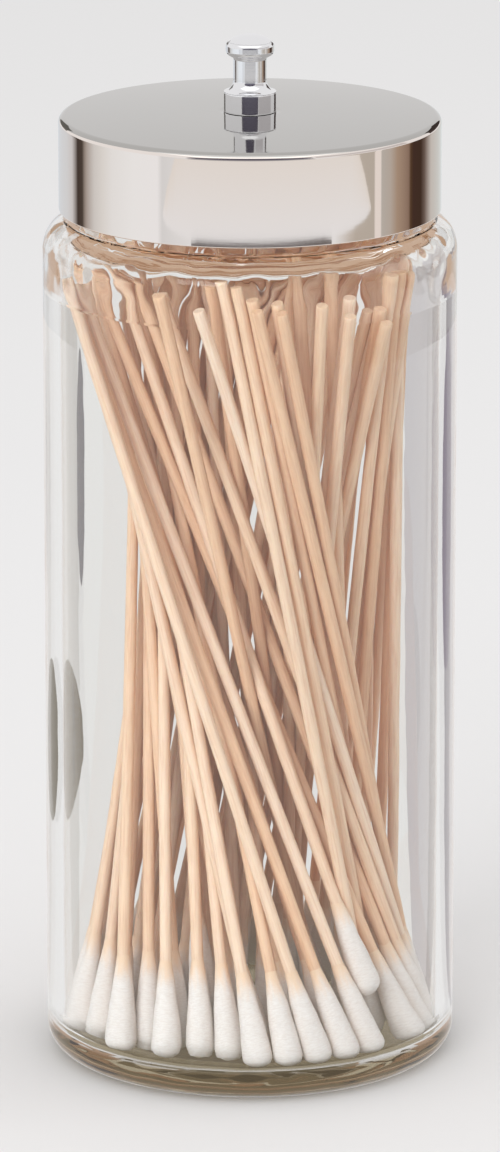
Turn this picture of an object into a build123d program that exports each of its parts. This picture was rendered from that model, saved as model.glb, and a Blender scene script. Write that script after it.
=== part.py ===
from build123d import *
import os
import numpy as np

# Sundry jar: a clear glass jar with a slip-on steel lid and a turned knob,
# filled with wooden applicators that stand on their cotton tips.
# Lengths are millimetres. The origin is the centre of the base, +Z is up.

# Glass jar
jar_diameter = 76.2
jar_wall = 3.2
floor_thickness = 5.0
heel_radius = 5.0
floor_corner_radius = 2.4
hollow_diameter = 50.0
hollow_depth = 1.0
shoulder_height = 5.6
neck_wall = 3.3
rim_radius = 1.2
bore_edge_radius = 1.0

# Steel lid
lid_setback = 3.0
lid_thickness = 0.8
lid_height = 17.3
lid_edge_radius = 1.3
lid_rise = 0.8
lid_seat_diameter = 12.0
skirt_edge_radius = 0.25
neck_clearance = 0.4
skirt_gap = 1.7

# Aluminium knob, with its screw and washer
knob_height = 14.2
knob_base_diameter = 9.6
knob_base_height = 3.7
knob_base_edge_radius = 0.35
knob_waist_diameter = 6.1
knob_waist_foot = 5.8
knob_waist_head = 9.9
knob_waist_head_radius = 0.5
knob_head_diameter = 8.9
knob_head_foot = 10.7
knob_head_height = 12.6
knob_head_edge_radius = 1.1
screw_diameter = 3.0
screw_clearance = 0.25
screw_engagement = 6.0
screw_head_diameter = 5.6
screw_head_height = 1.8
screw_slot_width = 0.8
screw_slot_depth = 0.9
washer_diameter = 8.0
washer_thickness = 0.6
thread_gap = 0.02

# Wooden applicators with one cotton tip
applicator_length = 152.4
head_room = 19.6
stick_diameter = 2.2
stick_edge = 0.15
tip_diameter = 5.4
tip_length = 18.0
tip_collar = 0.3
tip_cover = 3.0
tip_fit = 0.02
rest_gap = 0.06

# Worked out from the sizes above
jar_radius = jar_diameter / 2
inner_radius = jar_radius - jar_wall
lid_radius = jar_radius - lid_setback
neck_radius = lid_radius - lid_thickness - neck_clearance
bore_radius = neck_radius - neck_wall
rim_z = floor_thickness + applicator_length + head_room
lid_top_z = rim_z + lid_thickness
seat_z = lid_top_z + lid_rise
skirt_z = lid_top_z - lid_height
shoulder_z = skirt_z - skirt_gap
inner_shoulder_z = shoulder_z - neck_wall
shoulder_step = jar_radius - neck_radius
inner_step = inner_radius - bore_radius
washer_z = seat_z - lid_thickness - washer_thickness
screw_head_z = washer_z - screw_head_height
stick_radius = stick_diameter / 2
tip_radius = tip_diameter / 2
collar_radius = stick_radius + tip_collar
bore_in_tip_radius = stick_radius + tip_fit

# Shares of the shoulder's step that its rounds take: outside where it meets the neck, and inside under it
shoulder_root_share = 0.17
inner_round_share = 0.6


def round_corners(profile, spots):
    """Round the profile's corner nearest to each (radius from the axis, height) by the size given with it."""
    for r, z, size in spots:
        corner = profile.vertices().sort_by_distance((r, z))[0]
        fillet(corner, size)


# The jar is one revolved wall: hollow foot, rounded heel, straight body, round shoulder and neck.
with BuildPart() as jar:
    with BuildSketch(Plane.XZ) as jar_profile:
        with BuildLine():
            hollow_edge = (hollow_diameter / 2, 0)
            outside = Polyline(hollow_edge, (jar_radius, 0), (jar_radius, shoulder_z - shoulder_height))
            shoulder = TangentArc(outside @ 1, (neck_radius, shoulder_z), tangent=outside % 1)
            inside = Polyline(
                shoulder @ 1,
                (neck_radius, rim_z),
                (bore_radius, rim_z),
                (bore_radius, inner_shoulder_z),
                (inner_radius, inner_shoulder_z),
                (inner_radius, floor_thickness),
                (0, floor_thickness),
                (0, hollow_depth),
            )
            TangentArc(inside @ 1, hollow_edge, tangent=(1, 0))
        make_face()
        round_corners(
            jar_profile,
            (
                (jar_radius, 0, heel_radius),
                (neck_radius, shoulder_z, shoulder_step * shoulder_root_share),
                (neck_radius, rim_z, rim_radius),
                (bore_radius, rim_z, rim_radius),
                (bore_radius, inner_shoulder_z, bore_edge_radius),
                (inner_radius, inner_shoulder_z, inner_step * inner_round_share),
                (inner_radius, floor_thickness, floor_corner_radius),
            ),
        )
    revolve(axis=Axis.Z)

# The lid is one drawn cap of even thickness, its top raised a little towards a flat seat for the knob. It rests on
# the rim and its skirt stands just clear of the shoulder.
with BuildPart() as lid:
    with BuildSketch(Plane.XZ) as lid_profile:
        lid_inner_radius = lid_radius - lid_thickness
        seat_edge = (lid_seat_diameter / 2, seat_z)
        under_seat_edge = (lid_seat_diameter / 2, seat_z - lid_thickness)
        with BuildLine():
            top = TangentArc(seat_edge, (lid_radius, lid_top_z), tangent=(1, 0))
            under = TangentArc(under_seat_edge, (lid_inner_radius, rim_z), tangent=(1, 0))
            Polyline(top @ 1, (lid_radius, skirt_z), (lid_inner_radius, skirt_z), under @ 1)
            Polyline(top @ 0, (0, seat_z), (0, seat_z - lid_thickness), under @ 0)
        make_face()
        round_corners(
            lid_profile,
            (
                (lid_radius, lid_top_z, lid_edge_radius),
                (lid_inner_radius, rim_z, lid_edge_radius - lid_thickness),
                (lid_radius, skirt_z, skirt_edge_radius),
                (lid_inner_radius, skirt_z, skirt_edge_radius),
            ),
        )
    revolve(axis=Axis.Z)
    with Locations((0, 0, seat_z)):
        Hole(screw_diameter / 2 + screw_clearance)

# The knob is turned from bar: cylinder foot, cove up to a straight waist, rounded head with a low dome. It is
# tapped from below.
with BuildPart() as knob:
    with BuildSketch(Plane.XZ) as knob_profile:
        foot_corner = (knob_base_diameter / 2, seat_z + knob_base_height)
        waist_foot = (knob_waist_diameter / 2, seat_z + knob_waist_foot)
        waist_head = (knob_waist_diameter / 2, seat_z + knob_waist_head)
        head_foot = (knob_head_diameter / 2, seat_z + knob_head_foot)
        brow = (knob_head_diameter / 2, seat_z + knob_head_height)
        crown = (0, seat_z + knob_height)
        with BuildLine():
            foot = Polyline((0, seat_z), (knob_base_diameter / 2, seat_z), foot_corner)
            TangentArc(waist_foot, foot_corner, tangent=(0, -1))
            Polyline(waist_foot, waist_head, head_foot, brow)
            TangentArc(crown, brow, tangent=(1, 0))
            Line(crown, foot @ 0)
        make_face()
        round_corners(
            knob_profile,
            (
                (*foot_corner, knob_base_edge_radius),
                (*waist_head, knob_waist_head_radius),
                (*head_foot, knob_head_edge_radius),
                (*brow, knob_head_edge_radius),
            ),
        )
    revolve(axis=Axis.Z)
    with Locations(Plane((0, 0, seat_z), z_dir=(0, 0, -1))):
        Hole(screw_diameter / 2 + thread_gap, depth=screw_engagement + screw_diameter / 2)

with BuildPart() as knob_screw:
    with BuildSketch(Plane.XY.offset(screw_head_z)):
        Circle(screw_head_diameter / 2)
    extrude(amount=screw_head_height)
    fillet(knob_screw.edges().group_by(Axis.Z)[0], screw_head_height / 2)
    with BuildSketch(Plane.XY.offset(washer_z)):
        Circle(screw_diameter / 2)
    extrude(amount=seat_z + screw_engagement - washer_z)
    with BuildSketch(Plane.XY.offset(screw_head_z)):
        Rectangle(screw_head_diameter, screw_slot_width)
    extrude(amount=screw_slot_depth, mode=Mode.SUBTRACT)

with BuildPart() as knob_washer:
    with BuildSketch(Plane.XY.offset(washer_z)):
        Circle(washer_diameter / 2)
        Circle(screw_diameter / 2 + screw_clearance, mode=Mode.SUBTRACT)
    extrude(amount=washer_thickness)

# One applicator standing on the origin: a birch stick and the cotton wound on its end.
with BuildPart() as stick:
    with BuildSketch(Plane.XY.offset(tip_cover)):
        Circle(stick_radius)
    extrude(amount=applicator_length - tip_cover)
    chamfer(stick.edges().group_by(Axis.Z)[-1], stick_edge)

with BuildPart() as tip:
    with BuildSketch(Plane.XZ):
        with BuildLine():
            ball = TangentArc((0, 0), (tip_radius, tip_radius), tangent=(1, 0))
            outside = Polyline(
                ball @ 1,
                (collar_radius, tip_length - tip_collar),
                (bore_in_tip_radius, tip_length),
                (bore_in_tip_radius, tip_cover),
                (0, tip_cover),
                ball @ 0,
            )
        make_face()
    revolve(axis=Axis.Z)

# The applicators stand in fans of neighbours. Each row is a fan: how many it has, where its first and last
# foot stand, where its first and last head lean, how far its second foot is lifted on the tips beside it,
# and how readily the fan gives way. Places are shares of the inner radius, +x right and +y back, and lifts
# are shares of the tip's diameter.
fan_shares = (
    # from the left wall, across the front, down to the right
    (3, (0.37, -0.87), (0.66, -0.64), (-0.96, -0.10), (-0.94, 0.18), 0.0, 0.05),
    (3, (0.44, -0.66), (0.84, -0.40), (-0.90, 0.30), (-0.74, 0.20), 1.9, 0.05),
    (3, (0.93, -0.24), (0.95, 0.02), (-0.66, 0.00), (-0.36, -0.88), 0.0, 0.05),
    # from the front wall down to the right
    (3, (0.72, -0.22), (0.78, 0.06), (-0.16, -0.95), (-0.04, -0.97), 0.0, 0.08),
    (3, (0.92, 0.22), (0.86, 0.42), (0.04, -0.97), (0.14, -0.95), 0.0, 0.1),
    (2, (0.40, 0.16), (0.44, 0.34), (-0.26, -0.92), (-0.10, -0.80), 0.0, 0.1),
    # from the left at the back, spread along the front wall
    (3, (-0.87, -0.22), (-0.72, -0.46), (-0.31, 0.91), (-0.48, 0.84), 0.0, 0.2),
    (3, (-0.62, -0.60), (-0.46, -0.66), (-0.56, 0.78), (-0.50, 0.62), 0.0, 0.2),
    (3, (-0.34, -0.60), (-0.16, -0.72), (-0.64, 0.64), (-0.60, 0.50), 1.3, 0.2),
    (3, (-0.06, -0.91), (0.16, -0.92), (-0.60, 0.60), (-0.72, 0.44), 0.0, 0.2),
    (3, (0.10, -0.66), (0.28, -0.66), (-0.84, 0.44), (-0.90, 0.24), 0.0, 0.2),
    # from the front wall at the right, back down to the far side
    (3, (0.12, 0.50), (0.28, 0.70), (0.38, -0.88), (0.48, -0.82), 0.0, 0.2),
    (3, (0.06, 0.90), (0.28, 0.90), (0.56, -0.78), (0.66, -0.70), 0.0, 0.2),
    (3, (0.46, 0.56), (0.56, 0.72), (0.70, -0.63), (0.80, -0.52), 0.0, 0.2),
    (3, (0.84, 0.40), (0.72, 0.60), (0.86, -0.40), (0.93, -0.18), 0.0, 0.3),
    (3, (0.26, 0.20), (0.50, 0.00), (0.22, -0.62), (0.40, -0.54), 0.0, 0.4),
    # round the back, from the left wall to the right
    (3, (-0.92, -0.02), (-0.90, 0.26), (-0.20, 0.94), (0.00, 0.96), 0.0, 1.0),
    (3, (-0.84, 0.42), (-0.68, 0.64), (0.10, 0.95), (0.28, 0.92), 0.0, 1.0),
    (3, (-0.54, 0.74), (-0.32, 0.86), (0.38, 0.89), (0.54, 0.80), 0.0, 1.0),
    (3, (-0.14, 0.90), (-0.30, 0.62), (0.62, 0.74), (0.74, 0.62), 0.0, 1.0),
    (3, (0.50, 0.80), (0.64, 0.62), (0.82, 0.50), (0.92, 0.26), 0.0, 1.0),
    # in the middle
    (3, (-0.62, -0.30), (-0.40, -0.46), (-0.10, 0.84), (0.06, 0.82), 0.0, 1.0),
    (3, (-0.16, -0.48), (0.06, -0.48), (-0.34, 0.62), (-0.14, 0.70), 0.0, 1.0),
    (3, (-0.66, -0.04), (-0.62, 0.30), (0.16, 0.80), (0.34, 0.74), 0.0, 1.0),
    (3, (-0.44, 0.44), (-0.12, 0.44), (0.50, 0.62), (0.66, 0.46), 0.0, 1.0),
    (3, (-0.30, 0.16), (0.00, 0.26), (0.60, 0.30), (0.74, 0.08), 0.0, 1.0),
    (3, (-0.34, -0.16), (-0.06, -0.20), (0.30, 0.40), (0.50, 0.20), 0.0, 1.0),
)

# Share of the floor's area that the tips may fill. Every fan is thinned alike where a smaller jar holds fewer.
tip_packing_share = 0.48

# Settling: how many steps at most, how many of them still draw the applicators to their chosen places and how
# strongly, how often neighbours are looked for again, and how far each push goes beyond what is needed.
settle_steps = 6000
hold_steps = 900
hold_share = 0.02
look_steps = 15
push_share = 1.4
# Rings along a tip, beside the ball at its end, where it is kept off its neighbours
tip_rings = 6

foot_z = floor_thickness + tip_radius + rest_gap
foot_reach = inner_radius - max(floor_corner_radius, tip_radius + rest_gap)
axis_length = applicator_length - tip_radius
cone_length = tip_length - tip_radius


def radius_at(share):
    """Radius of an applicator at a share of the way from its ball's centre to its cut end."""
    along = share * axis_length
    cone = tip_radius + (collar_radius - tip_radius) * along / cone_length
    return np.where(along < cone_length, cone, stick_radius)


def first_places():
    """Feet, heads, lifts, give and fan number of every applicator, as the table has them."""
    rows = []
    room_for = tip_packing_share * (inner_radius / tip_radius) ** 2
    thinned = min(1, room_for / sum(row[0] for row in fan_shares))
    for fan, (count, foot_a, foot_b, head_a, head_b, lift, give) in enumerate(fan_shares):
        for k, share in enumerate(np.linspace(0, 1, max(1, round(count * thinned)))):
            foot = np.add(foot_a, share * np.subtract(foot_b, foot_a)) * inner_radius
            head = np.add(head_a, share * np.subtract(head_b, head_a)) * inner_radius
            rows.append((foot, head, lift * tip_diameter * (k == 1), give, fan))
    feet, heads, lifts, gives, fans = (np.array(column) for column in zip(*rows))
    return feet, heads, lifts, gives, fans


def stand(feet, heads, lifts):
    """Give feet and heads their heights: the tips on the floor or lifted, and the sticks at their full length."""
    feet[:, 2] = foot_z + lifts
    lean = np.linalg.norm((heads - feet)[:, :2], axis=1)
    heads[:, 2] = feet[:, 2] + np.sqrt(np.maximum(axis_length**2 - lean**2, stick_radius**2))


def nearest_shares(feet, axes, a, b):
    """How far along applicators a and b, as shares, their axes pass nearest to each other."""
    apart = feet[a] - feet[b]
    aa, bb, ab, pa, pb = (
        np.einsum("ij,ij->i", p, q)
        for p, q in (
            (axes[a], axes[a]),
            (axes[b], axes[b]),
            (axes[a], axes[b]),
            (axes[a], apart),
            (axes[b], apart),
        )
    )
    on_a = np.clip((ab * pb - pa * bb) / np.maximum(aa * bb - ab**2, aa * bb * 1e-6), 0, 1)
    on_b = np.clip((ab * on_a + pb) / bb, 0, 1)
    return np.clip((ab * on_b - pa) / aa, 0, 1), on_b


def keep_inside(feet, heads):
    """Move what leaves the jar's inside back to it: feet, the tops of the tips, and heads under the shoulder."""
    for share, reach in (
        (0, foot_reach),
        (cone_length / axis_length, inner_radius - tip_radius - rest_gap),
        (1, None),
    ):
        spot = feet + share * (heads - feet)
        if reach is None:
            height = spot[:, 2] + stick_radius
            free = np.interp(height, (inner_shoulder_z - inner_step, inner_shoulder_z), (inner_radius, bore_radius))
            reach = free - stick_radius - rest_gap
        from_axis = np.linalg.norm(spot[:, :2], axis=1)
        back = -spot[:, :2] * (np.maximum(from_axis - reach, 0) / from_axis)[:, None]
        weight = share**2 + (1 - share) ** 2
        feet[:, :2] += back * (1 - share) / weight
        heads[:, :2] += back * share / weight


def settle(feet, heads, lifts, gives):
    """Push the applicators apart, a little at a time, until they only lie against each other and the glass."""
    feet, heads = (np.column_stack((ends, np.zeros(len(ends)))) for ends in (feet, heads))
    stand(feet, heads, lifts)
    chosen_feet, chosen_heads = feet[:, :2].copy(), heads[:, :2].copy()
    every_a, every_b = np.triu_indices(len(feet), 1)
    ring_shares = np.linspace(0, cone_length / axis_length, tip_rings)
    for step in range(settle_steps):
        axes = heads - feet
        if step % look_steps == 0:
            on_a, on_b = nearest_shares(feet, axes, every_a, every_b)
            gap = feet[every_a] + on_a[:, None] * axes[every_a] - feet[every_b] - on_b[:, None] * axes[every_b]
            near = np.linalg.norm(gap, axis=1) < tip_diameter + stick_radius
            a, b = every_a[near], every_b[near]
            ring_a = np.repeat(np.concatenate((a, b)), tip_rings)
            ring_b = np.repeat(np.concatenate((b, a)), tip_rings)
            ring_on_a = np.tile(ring_shares, 2 * len(a))
        on_a, on_b = nearest_shares(feet, axes, a, b)
        ring_at = feet[ring_a] + ring_on_a[:, None] * axes[ring_a]
        ring_on_b = np.einsum("ij,ij->i", ring_at - feet[ring_b], axes[ring_b]) / axis_length**2
        one, other = np.concatenate((a, ring_a)), np.concatenate((b, ring_b))
        on_one = np.concatenate((on_a, ring_on_a))
        on_other = np.concatenate((on_b, np.clip(ring_on_b, 0, 1)))
        gap = feet[one] + on_one[:, None] * axes[one] - feet[other] - on_other[:, None] * axes[other]
        apart = np.linalg.norm(gap, axis=1)
        short = radius_at(on_one) + radius_at(on_other) + rest_gap - apart
        hold = hold_share * max(0, 1 - step / hold_steps)
        if short.max() < rest_gap / 2 and hold == 0:
            break
        short = np.maximum(short, 0) / (gives[one] + gives[other])
        push = gap * (push_share * short / apart)[:, None]
        moved = np.zeros((2, len(feet), 4))
        for who, share, way in ((one, on_one, push), (other, on_other, -push)):
            weight = (share**2 + (1 - share) ** 2)[:, None]
            both = np.column_stack((way * gives[who][:, None], short > 0))
            np.add.at(moved[0], who, both * (1 - share)[:, None] / weight)
            np.add.at(moved[1], who, both * share[:, None] / weight)
        for ends, chosen, move in ((feet, chosen_feet, moved[0]), (heads, chosen_heads, moved[1])):
            ends += move[:, :3] / np.maximum(move[:, 3:], 1)
            ends[:, :2] += hold * (chosen - ends[:, :2])
        keep_inside(feet, heads)
        stand(feet, heads, lifts)
    print("settled in", step, "steps, nearest pair short by", round(float(short.max()), 3))
    return feet, heads


first_feet, first_heads, foot_lifts, foot_gives, fan_numbers = first_places()
foot_points, head_points = settle(first_feet, first_heads, foot_lifts, foot_gives)
directions = (head_points - foot_points) / axis_length
standing_points = foot_points - directions * tip_radius

parts = {
    "jar": jar,
    "lid": lid,
    "knob": knob,
    "knob_screw": knob_screw,
    "knob_washer": knob_washer,
}
for fan in range(len(fan_shares)):
    members = np.flatnonzero(fan_numbers == fan)
    places = [Plane(tuple(standing_points[k]), z_dir=tuple(directions[k])) for k in members]
    for piece_name, piece in (("sticks", stick), ("tips", tip)):
        with BuildPart() as group:
            with Locations(*places):
                add(piece.part)
        parts[f"applicator_{piece_name}_{fan + 1:02d}"] = group

os.makedirs("parts", exist_ok=True)
for part_name, built in parts.items():
    built.part.label = part_name
    export_step(built.part, f"parts/{part_name}.step")
print(len(parts), "sub-parts,", len(foot_points), "applicators, overall height", round(seat_z + knob_height, 1))
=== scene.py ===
# %% [markdown]
# A sundry jar: clear pressed glass, a slip-on steel lid with a turned knob, and inside it
# eighty wooden applicators standing on their cotton tips. The CAD model of the same jar is
# loaded first as a fixed frame, in metres, with the centre of the base at the origin and +Z up.
# Every piece below is made in that frame, so nothing has to be moved into place afterwards.

# %% Load the frame
import math

import bmesh
import bpy
import numpy as np
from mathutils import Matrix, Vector


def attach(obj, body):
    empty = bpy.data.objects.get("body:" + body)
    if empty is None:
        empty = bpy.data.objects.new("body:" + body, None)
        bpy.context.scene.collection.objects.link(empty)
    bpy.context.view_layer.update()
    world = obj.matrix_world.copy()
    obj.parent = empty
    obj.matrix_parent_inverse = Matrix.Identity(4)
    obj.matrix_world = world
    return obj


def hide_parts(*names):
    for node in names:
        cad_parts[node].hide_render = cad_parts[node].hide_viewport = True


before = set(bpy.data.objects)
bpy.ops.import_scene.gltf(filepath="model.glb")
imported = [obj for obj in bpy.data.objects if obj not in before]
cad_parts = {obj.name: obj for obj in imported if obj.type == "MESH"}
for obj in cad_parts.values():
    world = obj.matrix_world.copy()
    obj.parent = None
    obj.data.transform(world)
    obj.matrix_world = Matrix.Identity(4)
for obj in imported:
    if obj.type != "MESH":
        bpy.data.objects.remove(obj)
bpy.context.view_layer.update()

MM = 0.001
scene = bpy.context.scene

# %% [markdown]
# The photograph was taken with a long lens from a little above the jar, so the sides of the
# jar run almost straight down. The camera stands about one and a half metres away and looks
# down 15 degrees at the middle of the jar. In an upright picture the sensor width that
# Blender is given counts along the tall side.

# %% Camera
CAMERA_DISTANCE = 1486 * MM
CAMERA_PITCH = math.radians(14.93)
CAMERA_LENS = 250
SENSOR_SIDE = 36
AIM_HEIGHT = 90.5 * MM
AIM = Vector((0, 0, AIM_HEIGHT))

camera_data = bpy.data.cameras.new("photo_camera")
camera_data.lens = CAMERA_LENS
camera_data.sensor_width = SENSOR_SIDE
camera = bpy.data.objects.new("photo_camera", camera_data)
towards_camera = Vector((0, -math.cos(CAMERA_PITCH), math.sin(CAMERA_PITCH)))
camera.location = AIM + towards_camera * CAMERA_DISTANCE
camera.rotation_euler = towards_camera.to_track_quat("Z", "Y").to_euler()
scene.collection.objects.link(camera)
scene.camera = camera
print("camera at", [round(c, 3) for c in camera.location])

# %% [markdown]
# Two small helpers carry most of the work. The first turns a colour written as a web hex
# value into the linear numbers that shaders use. The second adds one node to a tree, sets its
# options and its inputs, and links any input that is given another node's socket.

# %% Helpers for colours and node trees
def linear(hex_colour):
    """The linear RGBA of an sRGB hex colour such as #c8b090."""
    shares = [int(hex_colour[k : k + 2], 16) / 255 for k in (1, 3, 5)]
    return [s / 12.92 if s <= 0.04045 else ((s + 0.055) / 1.055) ** 2.4 for s in shares] + [1]


def add_node(tree, kind, inputs=None, **options):
    """Add a node. inputs maps an input's name or number to a value, or to a socket to link."""
    made = tree.nodes.new(kind)
    for option, value in options.items():
        setattr(made, option, value)
    for key, value in (inputs or {}).items():
        if isinstance(value, bpy.types.NodeSocket):
            tree.links.new(value, made.inputs[key])
        else:
            made.inputs[key].default_value = value
    return made


def new_material(name):
    """An empty material and its tree."""
    material = bpy.data.materials.new(name)
    material.use_nodes = True
    material.node_tree.nodes.clear()
    return material, material.node_tree


def finish_material(tree, shader):
    """Send a shader to the surface."""
    add_node(tree, "ShaderNodeOutputMaterial", {"Surface": shader})


# %% [markdown]
# Birch applicators are turned from pale birch, left bare. Fine grain lines run along the
# stick, and one stick is a little yellower or redder than the next. The grain is noise that is
# stretched along the stick in the stick's own coordinates, which the geometry stores as an
# attribute called place (millimetres). A second attribute, tone, differs from stick to stick.
# The vessels of real birch are under a tenth of a millimetre wide, too fine to show here, so the
# grain is drawn about four times as coarse, 0.4 mm from line to line.

# %% Birch
BIRCH_TONES = ("#efc9a6", "#f7dbbe", "#fce8d3")
BIRCH_GRAIN_TONES = ("#cfa37c", "#ffffff")
GRAIN_PER_MM = 2.6
GRAIN_STRETCH = 0.05
GRAIN_SHARE = 0.3
GRAIN_STOPS = (0.32, 0.56)
GRAIN_DEPTH = 0.1 * MM
GRAIN_SHIFT = 900.0
WOOD_ROUGHNESS = 0.62
WOOD_GLOW_DEPTHS = (1.0 * MM, 0.6 * MM, 0.3 * MM)


def birch_material():
    """Bare turned birch: warm cream, with fine darker grain along the stick, dull."""
    material, tree = new_material("birch_turned_bare")
    place = add_node(tree, "ShaderNodeAttribute", attribute_name="place").outputs["Vector"]
    tone = add_node(tree, "ShaderNodeAttribute", attribute_name="tone").outputs["Fac"]
    shifted = add_node(tree, "ShaderNodeCombineXYZ", {"Z": add_node(
        tree, "ShaderNodeMath", {0: tone, 1: GRAIN_SHIFT}, operation="MULTIPLY").outputs[0]})
    stretched = add_node(
        tree, "ShaderNodeMapping",
        {"Vector": place, "Location": shifted.outputs[0], "Scale": (1, 1, GRAIN_STRETCH)})
    grain = add_node(
        tree, "ShaderNodeTexNoise",
        {"Vector": stretched.outputs[0], "Scale": GRAIN_PER_MM, "Detail": 3, "Roughness": 0.6})
    tone_ramp = add_node(tree, "ShaderNodeValToRGB", {"Fac": tone})
    stops = tone_ramp.color_ramp.elements
    stops.new(0.5)
    for stop, colour in zip(stops, BIRCH_TONES):
        stop.color = linear(colour)
    grain_ramp = add_node(tree, "ShaderNodeValToRGB", {"Fac": grain.outputs["Fac"]})
    for stop, spot, colour in zip(grain_ramp.color_ramp.elements, GRAIN_STOPS, BIRCH_GRAIN_TONES):
        stop.position, stop.color = spot, linear(colour)
    colour = add_node(
        tree, "ShaderNodeMix", {0: GRAIN_SHARE, 6: tone_ramp.outputs[0], 7: grain_ramp.outputs[0]},
        data_type="RGBA", blend_type="MULTIPLY")
    bump = add_node(
        tree, "ShaderNodeBump", {"Height": grain.outputs["Fac"], "Strength": 0.15, "Distance": GRAIN_DEPTH})
    wood = add_node(
        tree, "ShaderNodeBsdfPrincipled",
        {"Base Color": colour.outputs[2], "Roughness": WOOD_ROUGHNESS, "Normal": bump.outputs[0],
         "Subsurface Weight": 0.12, "Subsurface Radius": WOOD_GLOW_DEPTHS, "Subsurface Scale": 1.0})
    finish_material(tree, wood.outputs[0])
    return material


# %% [markdown]
# The tips are cotton, wound on while it is loose and then smoothed. It is white, quite matt, and
# a little light passes through it; the faint warm shade in its dips is painted shade, a darker
# colour where the fibre noise is low. The winding leaves soft fibres that run round the tip at a
# slant. A cotton fibre is about 0.02 mm thick, far thinner than a pixel, so they are drawn as soft
# strands a fifth of a millimetre apart. Towards the end of the taper the cotton gets so thin that
# the wood shows through it, in streaks, so the colour goes over to that of the wood.

# %% Cotton
COTTON_WHITE = "#f6f5f4"
COTTON_PAINTED_SHADE = "#e8e4e1"
PAINTED_SHADE_STOPS = (0.3, 0.6)
FIBRES_PER_MM = 3.2
FIBRE_SLANT = (0.35, 0.2, 0)
FIBRE_STRETCH = (0.35, 0.35, 1.6)
FIBRE_DEPTH = 0.2 * MM
COTTON_THINS_AT = (12.0, 18.5)
THIN_STREAK = 5.0
STREAK_STRETCH = (1.2, 1.2, 0.25)
COTTON_ROUGHNESS = 0.95
COTTON_GLOW_DEPTHS = (1.5 * MM, 1.4 * MM, 1.3 * MM)


def cotton_material():
    """Wound cotton wool: white, matt, with soft slanted fibres, and thin over the wood at its end."""
    material, tree = new_material("cotton_wound")
    place = add_node(tree, "ShaderNodeAttribute", attribute_name="place").outputs["Vector"]
    winding = add_node(
        tree, "ShaderNodeMapping", {"Vector": place, "Rotation": FIBRE_SLANT, "Scale": FIBRE_STRETCH})
    fibre = add_node(
        tree, "ShaderNodeTexNoise",
        {"Vector": winding.outputs[0], "Scale": FIBRES_PER_MM, "Detail": 4, "Roughness": 0.65,
         "Distortion": 0.4})
    # Painted shade: low values of the fibre noise, the dips of its bump, get the darker warm colour.
    shade = add_node(tree, "ShaderNodeValToRGB", {"Fac": fibre.outputs["Fac"]})
    for stop, spot, colour in zip(shade.color_ramp.elements, PAINTED_SHADE_STOPS, (COTTON_PAINTED_SHADE, COTTON_WHITE)):
        stop.position, stop.color = spot, linear(colour)
    along = add_node(tree, "ShaderNodeMapping", {"Vector": place, "Scale": STREAK_STRETCH})
    streak = add_node(tree, "ShaderNodeTexNoise", {"Vector": along.outputs[0], "Scale": 1.0, "Detail": 2})
    height = add_node(tree, "ShaderNodeSeparateXYZ", {0: place}).outputs["Z"]
    ragged = add_node(
        tree, "ShaderNodeMath", {0: streak.outputs["Fac"], 1: THIN_STREAK, 2: height},
        operation="MULTIPLY_ADD")
    low, high = (spot + THIN_STREAK / 2 for spot in COTTON_THINS_AT)
    thin = add_node(
        tree, "ShaderNodeMapRange", {"Value": ragged.outputs[0], "From Min": low, "From Max": high},
        interpolation_type="SMOOTHSTEP")
    colour = add_node(
        tree, "ShaderNodeMix", {0: thin.outputs[0], 6: shade.outputs[0], 7: linear(BIRCH_TONES[1])},
        data_type="RGBA")
    bump = add_node(
        tree, "ShaderNodeBump", {"Height": fibre.outputs["Fac"], "Strength": 0.35, "Distance": FIBRE_DEPTH})
    cotton = add_node(
        tree, "ShaderNodeBsdfPrincipled",
        {"Base Color": colour.outputs[2], "Roughness": COTTON_ROUGHNESS, "Normal": bump.outputs[0],
         "Sheen Weight": 0.2, "Sheen Roughness": 0.5, "Subsurface Weight": 0.25,
         "Subsurface Radius": COTTON_GLOW_DEPTHS, "Subsurface Scale": 1.0})
    finish_material(tree, cotton.outputs[0])
    return material


# %% [markdown]
# Each applicator in the CAD is one straight stick, so its line can be read from the packed
# mesh: the mesh is welded, split into its separate sticks, and the middle of each flat end
# gives two points of the axis. This way the fine sticks and tips stand exactly where the solids
# do, whatever places the CAD gave them. The vertices are walked in their own order and the
# sticks are sorted by where they stand, so every run gives each stick the same tone.

# %% Read the applicators' lines from the frame
TIP_COVER = 3 * MM
END_SLICE = 0.05 * MM
WELD_GAP = 0.001 * MM


def stick_ends(node):
    """(foot end, cut end) of each stick in a CAD node, in metres."""
    welded = bmesh.new()
    welded.from_mesh(node.data)
    bmesh.ops.remove_doubles(welded, verts=welded.verts, dist=WELD_GAP)
    unseen = dict.fromkeys(welded.verts)
    ends = []
    while unseen:
        stack, stick = [unseen.popitem()[0]], []
        while stack:
            vertex = stack.pop()
            stick.append(vertex.co[:])
            for edge in vertex.link_edges:
                other = edge.other_vert(vertex)
                if other in unseen:
                    del unseen[other]
                    stack.append(other)
        points = np.array(stick)
        lowest, highest = points[points[:, 2].argmin()], points[points[:, 2].argmax()]
        along = points @ ((highest - lowest) / np.linalg.norm(highest - lowest))
        foot = points[along < along.min() + END_SLICE].mean(axis=0)
        head = points[along > along.max() - END_SLICE].mean(axis=0)
        ends.append((foot, head))
    welded.free()
    return sorted(ends, key=lambda pair: tuple(pair[0]))


stick_nodes = sorted(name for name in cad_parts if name.startswith("applicator_sticks"))
tip_nodes = sorted(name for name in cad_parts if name.startswith("applicator_tips"))
applicators = [pair for name in stick_nodes for pair in stick_ends(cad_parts[name])]
feet = np.array([foot for foot, head in applicators])
heads = np.array([head for foot, head in applicators])
axes = (heads - feet) / np.linalg.norm(heads - feet, axis=1)[:, None]
bottoms = feet - axes * TIP_COVER
stick_length = np.linalg.norm(heads - feet, axis=1).mean() / MM
print(len(applicators), "applicators, sticks", round(stick_length, 2), "mm long")

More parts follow.
